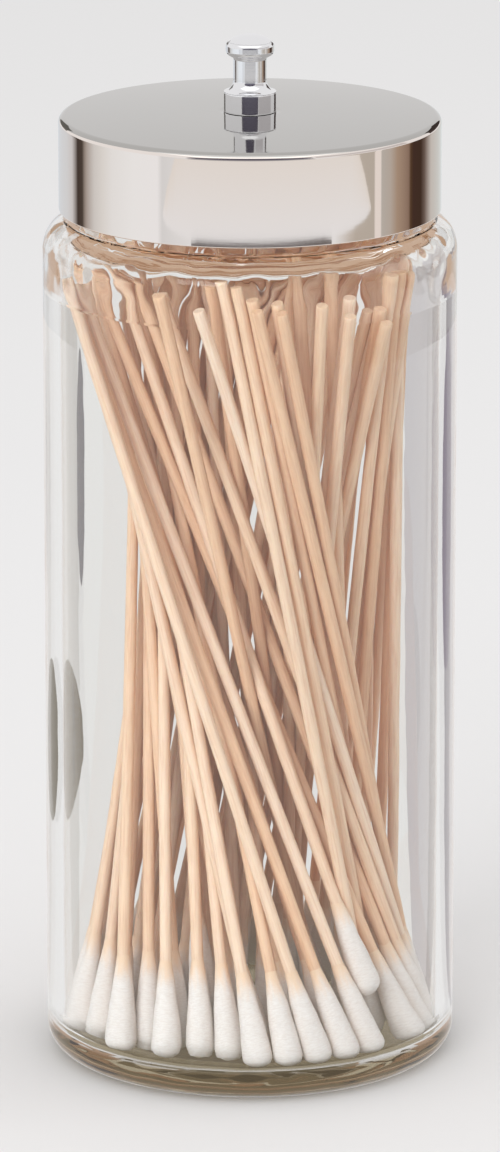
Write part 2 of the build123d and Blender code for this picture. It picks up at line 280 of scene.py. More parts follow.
# %% [markdown]
# Eighty sticks and eighty tips are the same two shapes repeated, which is what Geometry Nodes
# are for. The input is one loose vertex for each applicator with its direction stored on it. The
# tree draws one stick (or one tip) from named sizes, sets a copy on every vertex, turns it to
# that direction, and then pushes the realised surface in and out with noise so that no two are
# quite alike. Last come Realize Instances and Set Material, because the finished mesh has to
# stand on its own.

# %% Helpers for the Geometry Nodes trees
def points_object(name):
    """One vertex for each applicator at its lowest point, with its axis as an attribute."""
    mesh = bpy.data.meshes.new(name)
    mesh.from_pydata([tuple(p) for p in bottoms], [], [])
    mesh.attributes.new("axis", "FLOAT_VECTOR", "POINT").data.foreach_set("vector", axes.ravel())
    made = bpy.data.objects.new(name, mesh)
    scene.collection.objects.link(made)
    return made


def new_geometry_tree(name, sizes):
    """A geometry tree with a named number input for each size, and its group input node."""
    tree = bpy.data.node_groups.new(name, "GeometryNodeTree")
    tree.interface.new_socket("Geometry", in_out="INPUT", socket_type="NodeSocketGeometry")
    tree.interface.new_socket("Geometry", in_out="OUTPUT", socket_type="NodeSocketGeometry")
    for size in sizes:
        tree.interface.new_socket(size, in_out="INPUT", socket_type="NodeSocketFloat")
    return tree, add_node(tree, "NodeGroupInput").outputs


def math_node(tree, operation, *values):
    """One step of arithmetic in a tree."""
    return add_node(tree, "ShaderNodeMath", dict(enumerate(values)), operation=operation).outputs[0]


def turned_shape(tree, start, length, rings, sides, spacing, radius_of):
    """A shape turned round +Z from the height start up to length.

    spacing(share) says how far up each ring is, as a share, and radius_of(height) how wide it is
    there."""
    line = add_node(tree, "GeometryNodeCurvePrimitiveLine").outputs[0]
    line = add_node(tree, "GeometryNodeResampleCurve", {"Curve": line, "Count": rings}).outputs[0]
    share = add_node(tree, "GeometryNodeSplineParameter").outputs["Factor"]
    span = math_node(tree, "SUBTRACT", length, start)
    height = math_node(tree, "MULTIPLY_ADD", spacing(share), span, start)
    spot = add_node(tree, "ShaderNodeCombineXYZ", {"Z": height}).outputs[0]
    line = add_node(tree, "GeometryNodeSetPosition", {"Geometry": line, "Position": spot}).outputs[0]
    position = add_node(tree, "GeometryNodeInputPosition").outputs[0]
    height = add_node(tree, "ShaderNodeSeparateXYZ", {0: position}).outputs["Z"]
    ring = add_node(
        tree, "GeometryNodeCurvePrimitiveCircle", {"Resolution": sides, "Radius": 1.0}).outputs[0]
    shell = add_node(
        tree, "GeometryNodeCurveToMesh",
        {"Curve": line, "Profile Curve": ring, "Scale": radius_of(height), "Fill Caps": True}).outputs[0]
    shell = add_node(
        tree, "GeometryNodeMergeByDistance", {"Geometry": shell, "Distance": WELD_GAP}).outputs[0]
    in_mm = add_node(
        tree, "ShaderNodeVectorMath", {0: position, "Scale": 1 / MM}, operation="SCALE").outputs[0]
    return add_node(
        tree, "GeometryNodeStoreNamedAttribute", {"Geometry": shell, "Name": "place", "Value": in_mm},
        data_type="FLOAT_VECTOR", domain="POINT").outputs[0]


def repeat_on_points(tree, group_input, shape, wobble, wobble_scale, material, seed):
    """Copy shape to every point, turn it to the point's axis, roughen it, and give it its material."""
    axis = add_node(tree, "GeometryNodeInputNamedAttribute", {"Name": "axis"}, data_type="FLOAT_VECTOR")
    lean = add_node(tree, "FunctionNodeAlignRotationToVector", {"Vector": axis.outputs[0]}, axis="Z")
    spin = add_node(
        tree, "FunctionNodeRandomValue", {2: 0.0, 3: math.tau, "Seed": seed}, data_type="FLOAT").outputs[1]
    spun = add_node(
        tree, "FunctionNodeRotateRotation",
        {"Rotation": lean.outputs[0], "Rotate By": add_node(
            tree, "FunctionNodeAxisAngleToRotation", {"Axis": (0, 0, 1), "Angle": spin}).outputs[0]},
        rotation_space="LOCAL")
    tone = add_node(
        tree, "FunctionNodeRandomValue", {2: 0.0, 3: 1.0, "Seed": seed + 1}, data_type="FLOAT").outputs[1]
    toned = add_node(
        tree, "GeometryNodeStoreNamedAttribute",
        {"Geometry": group_input["Geometry"], "Name": "tone", "Value": tone},
        data_type="FLOAT", domain="POINT")
    copies = add_node(
        tree, "GeometryNodeInstanceOnPoints",
        {"Points": toned.outputs[0], "Instance": shape, "Rotation": spun.outputs[0]})
    solid = add_node(tree, "GeometryNodeRealizeInstances", {"Geometry": copies.outputs[0]}).outputs[0]
    noise = add_node(tree, "ShaderNodeTexNoise", {"Scale": wobble_scale, "Detail": 1}).outputs["Fac"]
    push = math_node(tree, "MULTIPLY", math_node(tree, "SUBTRACT", noise, 0.5), wobble)
    normal = add_node(tree, "GeometryNodeInputNormal").outputs[0]
    offset = add_node(
        tree, "ShaderNodeVectorMath", {0: normal, "Scale": push}, operation="SCALE").outputs[0]
    solid = add_node(tree, "GeometryNodeSetPosition", {"Geometry": solid, "Offset": offset}).outputs[0]
    solid = add_node(tree, "GeometryNodeSetShadeSmooth", {"Geometry": solid}).outputs[0]
    solid = add_node(tree, "GeometryNodeSetMaterial", {"Geometry": solid, "Material": material}).outputs[0]
    add_node(tree, "NodeGroupOutput", {"Geometry": solid})


def grow(obj, tree, sizes):
    """Run the tree on obj with these sizes, and leave its result as obj's own plain mesh."""
    modifier = obj.modifiers.new(tree.name, "NODES")
    modifier.node_group = tree
    for item in tree.interface.items_tree:
        if item.in_out == "INPUT" and item.name in sizes:
            modifier[item.identifier] = sizes[item.name]
    evaluated = obj.evaluated_get(bpy.context.evaluated_depsgraph_get())
    finished = bpy.data.meshes.new_from_object(evaluated)
    obj.modifiers.remove(modifier)
    obj.data = finished
    finished.name = obj.name
    print(obj.name, len(finished.vertices), "vertices,", len(finished.polygons), "faces")
    return obj


# %% [markdown]
# A stick is a plain dowel, 2.2 mm thick, with its cut edge just broken. It starts inside its tip,
# because the cotton is wound over its lower end. Most rings are set close to the cut end, where
# the broken edge needs them, and hardly any along the straight part.

# %% Sticks
STICK_LENGTH = 152.4 * MM
STICK_RADIUS = 1.1 * MM
BROKEN_EDGE = 0.15 * MM
STICK_WOBBLE = 0.1 * MM
STICK_WOBBLE_PER_M = 60.0
STICK_RINGS, STICK_SIDES = 12, 20
STICK_CROWDING = 3.0
STICK_SEED = 3

stick_tree, stick_sizes = new_geometry_tree(
    "turned_sticks", ("Start", "Length", "Radius", "Broken edge", "Wobble"))


def stick_radius_at(height):
    """The full radius, less where the cut end's edge is broken."""
    from_end = math_node(stick_tree, "SUBTRACT", stick_sizes["Length"], height)
    at_edge = math_node(
        stick_tree, "ADD", from_end, math_node(
            stick_tree, "SUBTRACT", stick_sizes["Radius"], stick_sizes["Broken edge"]))
    return math_node(stick_tree, "MINIMUM", stick_sizes["Radius"], at_edge)


def crowd_to_cut_end(share):
    """Rings lie closer and closer towards the cut end, where the edge needs them."""
    left = math_node(stick_tree, "SUBTRACT", 1.0, share)
    return math_node(stick_tree, "SUBTRACT", 1.0, math_node(stick_tree, "POWER", left, STICK_CROWDING))


one_stick = turned_shape(
    stick_tree, stick_sizes["Start"], stick_sizes["Length"], STICK_RINGS, STICK_SIDES,
    crowd_to_cut_end, stick_radius_at)
repeat_on_points(
    stick_tree, stick_sizes, one_stick, stick_sizes["Wobble"], STICK_WOBBLE_PER_M, birch_material(),
    STICK_SEED)
sticks = grow(
    points_object("birch_sticks"), stick_tree,
    {"Start": TIP_COVER, "Length": STICK_LENGTH, "Radius": STICK_RADIUS, "Broken edge": BROKEN_EDGE,
     "Wobble": STICK_WOBBLE})
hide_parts(*stick_nodes)
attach(sticks, "jar")

# %% [markdown]
# A tip is one ball end and one long taper that comes down onto the stick. The radius is worked
# out from the height with a few arithmetic nodes, so one tree gives any size of tip. It ends
# 0.3 mm further up than the plain solid does, where the last fibres lie flat on the wood. The
# noise that pushes the surface is stronger here than on wood, because cotton is lumpy.

# %% Tips
TIP_LENGTH = 18.3 * MM
TIP_RADIUS = 2.7 * MM
TIP_END_RADIUS = 1.14 * MM
TIP_WOBBLE = 0.5 * MM
TIP_WOBBLE_PER_M = 220.0
TIP_RINGS, TIP_SIDES = 26, 32
TIP_CROWDING = 1.7
TAPER_POWER = 1.2
TIP_SEED = 11

tip_tree, tip_sizes = new_geometry_tree("wound_tips", ("Length", "Radius", "Stick radius", "Wobble"))


def tip_radius_at(height):
    """A half ball, then a long taper that ends just off the stick."""
    to_centre = math_node(tip_tree, "SUBTRACT", tip_sizes["Radius"], height)
    squares = math_node(
        tip_tree, "SUBTRACT", math_node(tip_tree, "POWER", tip_sizes["Radius"], 2.0),
        math_node(tip_tree, "MULTIPLY", to_centre, to_centre))
    ball = math_node(tip_tree, "SQRT", math_node(tip_tree, "MAXIMUM", squares, 0.0))
    tapering = math_node(tip_tree, "SUBTRACT", tip_sizes["Length"], tip_sizes["Radius"])
    share = math_node(
        tip_tree, "MAXIMUM", math_node(
            tip_tree, "DIVIDE", math_node(tip_tree, "MULTIPLY", to_centre, -1.0), tapering), 0.0)
    drop = math_node(tip_tree, "SUBTRACT", tip_sizes["Radius"], tip_sizes["Stick radius"])
    taper = math_node(
        tip_tree, "SUBTRACT", tip_sizes["Radius"], math_node(
            tip_tree, "MULTIPLY", drop, math_node(tip_tree, "POWER", share, TAPER_POWER)))
    on_taper = math_node(tip_tree, "GREATER_THAN", height, tip_sizes["Radius"])
    return add_node(
        tip_tree, "ShaderNodeMix", {0: on_taper, 2: ball, 3: taper}, data_type="FLOAT").outputs[0]


def crowd_to_ball(share):
    """Rings lie closer towards the round end."""
    return math_node(tip_tree, "POWER", share, TIP_CROWDING)


one_tip = turned_shape(
    tip_tree, 0.0, tip_sizes["Length"], TIP_RINGS, TIP_SIDES, crowd_to_ball, tip_radius_at)
repeat_on_points(
    tip_tree, tip_sizes, one_tip, tip_sizes["Wobble"], TIP_WOBBLE_PER_M, cotton_material(), TIP_SEED)
tips = grow(
    points_object("cotton_tips"), tip_tree,
    {"Length": TIP_LENGTH, "Radius": TIP_RADIUS, "Stick radius": TIP_END_RADIUS, "Wobble": TIP_WOBBLE})
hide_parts(*tip_nodes)
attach(tips, "jar")

# %% [markdown]
# The jar, lid and knob are all turned shapes, so one function makes them: an outline of corner
# points, each with the radius that rounds it, is carried round the axis in small steps. Glass
# and polished metal show every facet, so there are many steps, more than the CAD mesh has.
# Smooth shading blends the faces that meet at a point. Without care it would bend the light on a
# whole flat wall towards the small rounding at its end. So each rounding gets one very narrow
# extra ring at both of its ends, which holds the blend there.

# %% Turned pieces
SIDES = 240
ARC_STEPS = 20
EDGE_HOLD = 0.03
ON_THE_AXIS = 0.001


def rounded_outline(corners):
    """Points (radius, height) of an outline. Each corner is (radius, height, rounding), in mm."""
    spots = [Vector(corner[:2]) for corner in corners]
    outline = []
    for k, (spot, corner) in enumerate(zip(spots, corners)):
        size = corner[2]
        if size == 0:
            outline.append(spot)
            continue
        back, on = (spots[k - 1] - spot).normalized(), (spots[(k + 1) % len(spots)] - spot).normalized()
        half = back.angle(on) / 2
        centre = spot + (back + on).normalized() * (size / math.sin(half))
        reach = size / math.tan(half)
        first, last = spot + back * reach - centre, spot + on * reach - centre
        outline.append(spot + back * (reach + EDGE_HOLD))
        for step in range(ARC_STEPS + 1):
            way = first.to_3d().slerp(last.to_3d(), step / ARC_STEPS).xy.normalized()
            outline.append(centre + way * size)
        outline.append(spot + on * (reach + EDGE_HOLD))
    return outline


def turn(name, outline, material, slot, body, *nodes):
    """Carry a closed outline in mm round the Z axis, and let the piece stand for its CAD nodes."""
    shape = bmesh.new()
    rings = []
    for radius, height in outline:
        if radius < ON_THE_AXIS:
            rings.append([shape.verts.new((0, 0, height * MM))] * SIDES)
            continue
        rings.append([
            shape.verts.new((
                radius * MM * math.cos(math.tau * k / SIDES), radius * MM * math.sin(math.tau * k / SIDES),
                height * MM)) for k in range(SIDES)])
    for low, high in zip(rings, rings[1:] + rings[:1]):
        for k in range(SIDES):
            corners = [low[k], low[(k + 1) % SIDES], high[(k + 1) % SIDES], high[k]]
            corners = [c for n, c in enumerate(corners) if c is not corners[n - 1]]
            if len(set(corners)) > 2:
                shape.faces.new(corners).smooth = True
    bmesh.ops.recalc_face_normals(shape, faces=shape.faces)
    mesh = bpy.data.meshes.new(name)
    shape.to_mesh(mesh)
    shape.free()
    mesh.materials.append(material)
    piece = bpy.data.objects.new(name, mesh)
    scene.collection.objects.link(piece)
    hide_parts(*nodes)
    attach(piece, body)
    print(name, len(mesh.polygons), "faces")
    return piece


# %% [markdown]
# The jar is pressed soda-lime glass. Its wall is clear and nearly colourless, and what gives it
# away is how its edges bend the view. Through the foot one looks along the thick bottom, where
# the iron in the glass and the wood above it show as a deep olive brown. A surface colour that
# depends on the height gives that, and it is simpler than a true absorbing volume; it is partly
# the glass's own tint and partly painted shade, since it darkens all that is seen through the foot.
# Shadow rays pass straight through, because bent light would leave the inside of the jar in the
# dark. A pressed jar is never quite even: its wall has slow ripples, and its shoulder and neck
# have more of them, so a bump from soft noise bends the view there and breaks up what shows
# through.
# A ray that gets trapped in the thick neck or foot would end black after its last bounce. In the
# real jar it leaves at last and shows a mix of wood and white, so deep rays end in a painted glow
# of that colour instead, olive low in the foot and warm above it.

# %% Glass
GLASS_CLEAR = "#fbfcfb"
FOOT_OLIVE_WITH_PAINTED_SHADE = "#6c5c3d"
FOOT_TINT = (5.6 * MM, 7.4 * MM)
RIPPLE_SIZE = 9 * MM
NECK_RIPPLES = (146 * MM, 157 * MM)
WALL_SHARE = 0.012
FOOT_RIPPLES = (6 * MM, 9 * MM)
FOOT_SHARE = 0.3
RIPPLE_DEPTH = 1.2 * MM
GLASS_IOR = 1.5
SHADOW_CLEAR = "#fefefe"
TRAPPED_PAINTED_GLOW = ("#75684c", "#c3a389")
TRAPPED_DEPTH = 4.5


def glass_material():
    """Pressed soda-lime glass: clear, colourless and glossy in the wall, olive brown in the foot."""
    material, tree = new_material("soda_lime_glass_pressed")
    place = add_node(tree, "ShaderNodeTexCoord").outputs["Object"]
    height = add_node(tree, "ShaderNodeSeparateXYZ", {0: place}).outputs["Z"]
    up_the_foot = add_node(
        tree, "ShaderNodeMapRange", {"Value": height, "From Min": FOOT_TINT[0], "From Max": FOOT_TINT[1]})
    # Partly painted shade: low in the foot the colour goes to a dark olive brown, which darkens what is
    # seen through it.
    tint = add_node(tree, "ShaderNodeValToRGB", {"Fac": up_the_foot.outputs[0]})
    for stop, colour in zip(tint.color_ramp.elements, (FOOT_OLIVE_WITH_PAINTED_SHADE, GLASS_CLEAR)):
        stop.color = linear(colour)
    ripple = add_node(
        tree, "ShaderNodeTexNoise", {"Vector": place, "Scale": 1 / RIPPLE_SIZE, "Detail": 1}).outputs["Fac"]
    towards_neck = add_node(
        tree, "ShaderNodeMapRange",
        {"Value": height, "From Min": NECK_RIPPLES[0], "From Max": NECK_RIPPLES[1], "To Min": WALL_SHARE})
    towards_foot = add_node(
        tree, "ShaderNodeMapRange",
        {"Value": height, "From Min": FOOT_RIPPLES[1], "From Max": FOOT_RIPPLES[0], "To Max": FOOT_SHARE})
    uneven = math_node(tree, "MAXIMUM", towards_neck.outputs[0], towards_foot.outputs[0])
    ripple = math_node(tree, "MULTIPLY", ripple, uneven)
    bump = add_node(tree, "ShaderNodeBump", {"Height": ripple, "Strength": 1.0, "Distance": RIPPLE_DEPTH})
    glass = add_node(
        tree, "ShaderNodeBsdfPrincipled",
        {"Base Color": tint.outputs[0], "Roughness": 0.0, "IOR": GLASS_IOR, "Transmission Weight": 1.0,
         "Normal": bump.outputs[0]})
    path = add_node(tree, "ShaderNodeLightPath").outputs
    # Painted light: a ray deeper than the trapped depth glows in a fixed colour, olive in the foot and warm
    # above.
    trapped_glow_colour = add_node(
        tree, "ShaderNodeMix",
        {0: up_the_foot.outputs[0], 6: linear(TRAPPED_PAINTED_GLOW[0]), 7: linear(TRAPPED_PAINTED_GLOW[1])},
        data_type="RGBA")
    trapped_glow = add_node(tree, "ShaderNodeEmission", {"Color": trapped_glow_colour.outputs[2], "Strength": 1.0})
    deep = math_node(tree, "GREATER_THAN", path["Ray Depth"], TRAPPED_DEPTH)
    lit = add_node(tree, "ShaderNodeMixShader", {0: deep, 1: glass.outputs[0], 2: trapped_glow.outputs[0]})
    clear = add_node(tree, "ShaderNodeBsdfTransparent", {"Color": linear(SHADOW_CLEAR)})
    mixed = add_node(
        tree, "ShaderNodeMixShader", {0: path["Is Shadow Ray"], 1: lit.outputs[0], 2: clear.outputs[0]})
    finish_material(tree, mixed.outputs[0])
    return material


# %% [markdown]
# The jar's outline goes up the outside, over the shoulder and the neck, down the inside and
# back under the foot, which is slightly hollow so that the jar stands on its outer ring. The
# hollow is as shallow as a watch glass, so a few rings with no rounding give its curve.

# %% Jar
JAR_RADIUS, INNER_RADIUS = 38.1, 34.9
NECK_RADIUS, MOUTH_RADIUS = 33.9, 30.6
SHOULDER, INNER_SHOULDER, JAR_TOP = 158.8, 155.5, 177.0
SHOULDER_DROP, SHOULDER_ROUND, INNER_SHOULDER_ROUND = 1.22, 5.83, 2.58
NECK_FOOT_ROUND, RIM_ROUND, BORE_EDGE_ROUND = 0.71, 1.2, 1.0
FLOOR, FLOOR_ROUND, HEEL_ROUND = 5.0, 2.4, 5.0
FOOT_HOLLOW = ((0, 1.0, 0), (6.2, 0.94, 0), (12.5, 0.75, 0), (18.7, 0.44, 0), (25.0, 0, 0))

jar_outline = rounded_outline((
    (JAR_RADIUS, 0, HEEL_ROUND),
    (JAR_RADIUS, SHOULDER - SHOULDER_DROP, SHOULDER_ROUND),
    (NECK_RADIUS, SHOULDER, NECK_FOOT_ROUND),
    (NECK_RADIUS, JAR_TOP, RIM_ROUND),
    (MOUTH_RADIUS, JAR_TOP, RIM_ROUND),
    (MOUTH_RADIUS, INNER_SHOULDER, BORE_EDGE_ROUND),
    (INNER_RADIUS, INNER_SHOULDER, INNER_SHOULDER_ROUND),
    (INNER_RADIUS, FLOOR, FLOOR_ROUND),
    (0, FLOOR, 0),
    *FOOT_HOLLOW))
turn("glass_jar", jar_outline, glass_material(), "clear_glass", "jar", "jar")

# %% [markdown]
# The lid is pressed from stainless sheet. Its skirt is polished to a mirror, and its top has the
# finest of brushed grain, so it still mirrors the knob but a little softly. Its inside was left
# matt, and its colour is a painted reflection: a warm beige that stands in for the wood below it.
# The knob is turned aluminium, polished on the lathe, and its streaks run round it. The screw and
# the washer under the lid are plain steel. Each is one shader with a noise bump that is stretched
# along the way that the metal was worked, and what makes it look like metal is the studio in it.
# Real polishing marks are a hundredth of a millimetre wide and can't show, so the streaks are
# drawn 0.4 mm wide and more. Their sizes are in millimetres, to the right, to the back and up.

# %% Metals
STREAK_DEPTH = 0.02 * MM
POLISHING_WAVES = (25, 25, 2.5)
BRUSHED_GRAIN = (0.667, 16.7, 16.7)
LATHE_STREAKS = (16.7, 16.7, 0.4)
MATT_SPECKS = (3.33, 3.33, 3.33)
PLAIN_SPECKS = (2, 2, 2)


def metal_material(name, colour, roughness, streak_sizes, streak_strength):
    """Metal with fine streaks from how it was worked."""
    material, tree = new_material(name)
    place = add_node(tree, "ShaderNodeTexCoord").outputs["Object"]
    stretched = add_node(
        tree, "ShaderNodeMapping",
        {"Vector": place, "Scale": [1 / (size * MM) for size in streak_sizes]})
    streaks = add_node(
        tree, "ShaderNodeTexNoise", {"Vector": stretched.outputs[0], "Scale": 1.0, "Detail": 3})
    bump = add_node(
        tree, "ShaderNodeBump",
        {"Height": streaks.outputs["Fac"], "Strength": streak_strength, "Distance": STREAK_DEPTH})
    metal = add_node(
        tree, "ShaderNodeBsdfPrincipled",
        {"Base Color": linear(colour), "Metallic": 1.0, "Roughness": roughness, "Normal": bump.outputs[0]})
    finish_material(tree, metal.outputs[0])
    return material


skirt_steel = metal_material("stainless_mirror_polished", "#f6ede7", 0.03, POLISHING_WAVES, 0.05)
top_steel = metal_material("stainless_satin_brushed", "#bcbab7", 0.05, BRUSHED_GRAIN, 0.04)
knob_metal = metal_material("aluminium_turned_polished", "#f4f4f6", 0.1, LATHE_STREAKS, 0.08)
# Painted reflection: the inside's warm beige colour stands in for the wood that it would mirror.
inner_steel_painted_warm = metal_material("stainless_matt_inside_painted_warm", "#dcc3ab", 0.5, MATT_SPECKS, 0.2)
plain_steel = metal_material("stainless_plain", "#b5b5b5", 0.35, PLAIN_SPECKS, 0.2)

# %% [markdown]
# The lid's top rises very slightly from its rim to a flat seat under the knob, because a sheet
# that is drawn down at its rim springs up in the middle. In a mirror that small rise shows, so
# the top and the underside follow a curve in steps of a few millimetres. The lid is one piece
# with three finishes, and the way that a face looks says which finish it has.

# %% Lid
LID_RADIUS, LID_WALL = 35.1, 0.8
LID_TOP, LID_FOOT, LID_RISE = 177.8, 160.5, 0.8
SEAT_RADIUS, SEAT_HEIGHT = 6.0, 178.6
LID_EDGE_ROUND, SKIRT_EDGE_ROUND, INNER_EDGE_ROUND = 1.3, 0.25, 0.5
SCREW_HOLE = 1.75
DOME_STEPS = 12
TOP_SLOPE = 0.5
LID_FINISHES = (skirt_steel, top_steel, inner_steel_painted_warm)


def lid_dome(edge, seat_height):
    """Corners from the seat almost to the edge, on a curve that drops by the lid's rise."""
    ways = [k / DOME_STEPS for k in range(DOME_STEPS)]
    return [(SEAT_RADIUS + (edge - SEAT_RADIUS) * w, seat_height - LID_RISE * w * w, 0) for w in ways]


lid_outline = rounded_outline((
    (SCREW_HOLE, SEAT_HEIGHT, 0),
    *lid_dome(LID_RADIUS, SEAT_HEIGHT),
    (LID_RADIUS, LID_TOP, LID_EDGE_ROUND),
    (LID_RADIUS, LID_FOOT, SKIRT_EDGE_ROUND),
    (LID_RADIUS - LID_WALL, LID_FOOT, SKIRT_EDGE_ROUND),
    (LID_RADIUS - LID_WALL, LID_TOP - LID_WALL, INNER_EDGE_ROUND),
    *reversed(lid_dome(LID_RADIUS - LID_WALL, SEAT_HEIGHT - LID_WALL)),
    (SCREW_HOLE, SEAT_HEIGHT - LID_WALL, 0)))
lid = turn("steel_lid", lid_outline, skirt_steel, "polished_steel", "lid", "lid")
for finish in LID_FINISHES[1:]:
    lid.data.materials.append(finish)
for face in lid.data.polygons:
    outwards = face.normal.x * face.center.x + face.normal.y * face.center.y
    if face.normal.z > TOP_SLOPE:
        face.material_index = LID_FINISHES.index(top_steel)
    elif outwards < 0 or face.normal.z < -TOP_SLOPE:
        face.material_index = LID_FINISHES.index(inner_steel_painted_warm)

# %% [markdown]
# The knob is one turned piece: a plain foot, a cove up to a slim waist, and a head like a bead
# with a low dome. Its sharp lower edge is broken by a hair, or the smooth shading would bend the
# foot's mirror image there. It is hollow from below for the screw. The screw and the washer are
# hidden inside the lid and round enough in the CAD, so they keep their CAD shapes.

# %% Knob, screw and washer
BORE_RADIUS, BORE_DEPTH = 1.52, 7.5
KNOB_FOOT_RADIUS, KNOB_FOOT_TOP, KNOB_FOOT_ROUND, BROKEN_BY = 4.8, 3.7, 0.35, 0.05
COVE_FOOT, COVE_ROUND = 4.02, 2.135
WAIST_RADIUS, WAIST_TOP, WAIST_ROUND = 3.05, 9.9, 0.5
HEAD_RADIUS, HEAD_FOOT, HEAD_TOP, HEAD_ROUND = 4.45, 10.7, 12.6, 1.1
DOME_RADIUS, DOME_TOP, DOME_ROUND = 2.514, 14.2, 5.5

knob_corners = (
    (0, BORE_DEPTH, 0),
    (BORE_RADIUS, BORE_DEPTH, 0),
    (BORE_RADIUS, 0, 0),
    (KNOB_FOOT_RADIUS, 0, BROKEN_BY),
    (KNOB_FOOT_RADIUS, KNOB_FOOT_TOP, KNOB_FOOT_ROUND),
    (WAIST_RADIUS, COVE_FOOT, COVE_ROUND),
    (WAIST_RADIUS, WAIST_TOP, WAIST_ROUND),
    (HEAD_RADIUS, HEAD_FOOT, HEAD_ROUND),
    (HEAD_RADIUS, HEAD_TOP, HEAD_ROUND),
    (DOME_RADIUS, DOME_TOP, DOME_ROUND),
    (0, DOME_TOP, 0))
knob_outline = rounded_outline([(r, SEAT_HEIGHT + z, rounding) for r, z, rounding in knob_corners])
turn("turned_knob", knob_outline, knob_metal, "turned_aluminium", "lid", "knob")
for node in ("knob_screw", "knob_washer"):
    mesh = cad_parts[node].data
    mesh.materials.clear()
    mesh.materials.append(plain_steel)

# %% [markdown]
# The studio is a white paper floor with soft light from all round, a softbox in front on the
# left and a smaller one behind on the right. Metal and glass see the floor and the sky in one
# plain near-white, as they would inside a light tent.

# %% Floor, sky and lamps
PAPER_WHITE = "#e5e4e4"
SHOWN_WHITE = "#ecebeb"
SKY_WHITE, SKY_STRENGTH = "#ffffff", 0.92
FLOOR_HALF = 6
# A softbox is its name, its place in metres, its side in metres and its power in watts.
SOFTBOXES = (
    ("front_softbox", (-0.7, -1.2, 0.8), 0.9, 9),
    ("right_softbox", (1.1, 0.3, 0.8), 0.7, 2),
)


def paper_material():
    """White paper: it takes shadows, and mirrors and glass see it evenly lit."""
    material, tree = new_material("paper_sweep_white")
    surface = add_node(tree, "ShaderNodeBsdfDiffuse", {"Color": linear(PAPER_WHITE)})
    seen = add_node(tree, "ShaderNodeEmission", {"Color": linear(SHOWN_WHITE), "Strength": 1.0})
    path = add_node(tree, "ShaderNodeLightPath").outputs
    rays = math_node(tree, "MAXIMUM", path["Is Glossy Ray"], path["Is Transmission Ray"])
    mixed = add_node(tree, "ShaderNodeMixShader", {0: rays, 1: surface.outputs[0], 2: seen.outputs[0]})
    finish_material(tree, mixed.outputs[0])
    return material


def stage_mesh(name, corners, faces, material):
    """A piece of the studio, which is no part of the jar."""
    mesh = bpy.data.meshes.new(name)
    mesh.from_pydata(corners, [], faces)
    mesh.materials.append(material)
    made = bpy.data.objects.new(name, mesh)
    scene.collection.objects.link(made)
    return made


def softbox(name, place, size, power):
    """A square soft lamp that looks at the middle of the jar."""
    data = bpy.data.lights.new(name, "AREA")
    data.shape = "SQUARE"
    data.size = size
    data.energy = power
    lamp = bpy.data.objects.new(name, data)
    lamp.location = place
    lamp.rotation_euler = (Vector(place) - AIM).to_track_quat("Z", "Y").to_euler()
    lamp.visible_glossy = False
    scene.collection.objects.link(lamp)


stage_mesh(
    "floor", [(x * FLOOR_HALF, y * FLOOR_HALF, 0) for x, y in ((-1, -1), (1, -1), (1, 1), (-1, 1))],
    [(0, 1, 2, 3)], paper_material())

world = bpy.data.worlds.new("light_tent")
scene.world = world
world.use_nodes = True
world_tree = world.node_tree
world_tree.nodes.clear()
shown_sky = add_node(
    world_tree, "ShaderNodeBackground", {"Color": linear(SHOWN_WHITE), "Strength": 1.0})
lighting = add_node(
    world_tree, "ShaderNodeBackground", {"Color": linear(SKY_WHITE), "Strength": SKY_STRENGTH})
paths = add_node(world_tree, "ShaderNodeLightPath").outputs
shown = math_node(world_tree, "MAXIMUM", paths["Is Camera Ray"], math_node(
    world_tree, "MAXIMUM", paths["Is Glossy Ray"], paths["Is Transmission Ray"]))
both = add_node(
    world_tree, "ShaderNodeMixShader", {0: shown, 1: lighting.outputs[0], 2: shown_sky.outputs[0]})
add_node(world_tree, "ShaderNodeOutputWorld", {"Surface": both.outputs[0]})

for name, place, size, power in SOFTBOXES:
    softbox(name, place, size, power)
print("softboxes:", len(SOFTBOXES))

# %% [markdown]
# The skirt is a mirror, so what it shows is the room: pale panels in front, and narrow dark
# stands at the sides. Here the room is a ring of cards round the jar. The camera looks down on
# the skirt, so the skirt mirrors only what stands lower than itself, and the rounded rim above
# it and the knob mirror what stands higher. A dark stand in front gives the knob's foot its dark
# stripe, and cards at the sides give it a grey one and dark edges. Each card is a list of
# stations along an arc: the angle in degrees, from the camera's direction and to the right, the
# card's two heights there in mm, and its colours at those heights. Only mirrors see the cards,
# so they light nothing.

# %% Cards that the metal mirrors
ROOM_DISTANCE, PANEL_DISTANCE = 440, 420
ROOM_HEIGHTS = (40, 150)
ARC_DEGREES = 4
ROOM_COLOURS = (
    (-180, "#d7dde3"), (-140, "#d5d9dd"), (-131, "#cfcfd1"), (-125.5, "#8a8583"), (-123, "#443a35"),
    (-117, "#4d443e"), (-114.5, "#8d847d"), (-112, "#aaa29d"), (-104, "#d1d1d0"), (-96, "#dedfde"),
    (-88, "#e7eaec"), (-72, "#edf1f4"), (-55, "#eef1f5"), (-52, "#d9dcdf"), (-30, "#e6e9ec"),
    (50, "#e6e9ec"), (60, "#c4beb7"), (64, "#b9b2a9"), (77, "#b8b2a9"), (78, "#e6e0dc"), (82, "#e6e0dc"),
    (83, "#b8b5b0"), (90, "#b6aea6"), (96, "#a79381"), (104, "#947f70"), (107, "#8a7466"),
    (109, "#55402f"), (112, "#43312a"), (121, "#413128"), (126, "#6b5d56"), (129, "#8f857f"),
    (136, "#c5c2be"), (152, "#ced1cf"), (168, "#dfe5e6"), (180, "#d7dde3"))
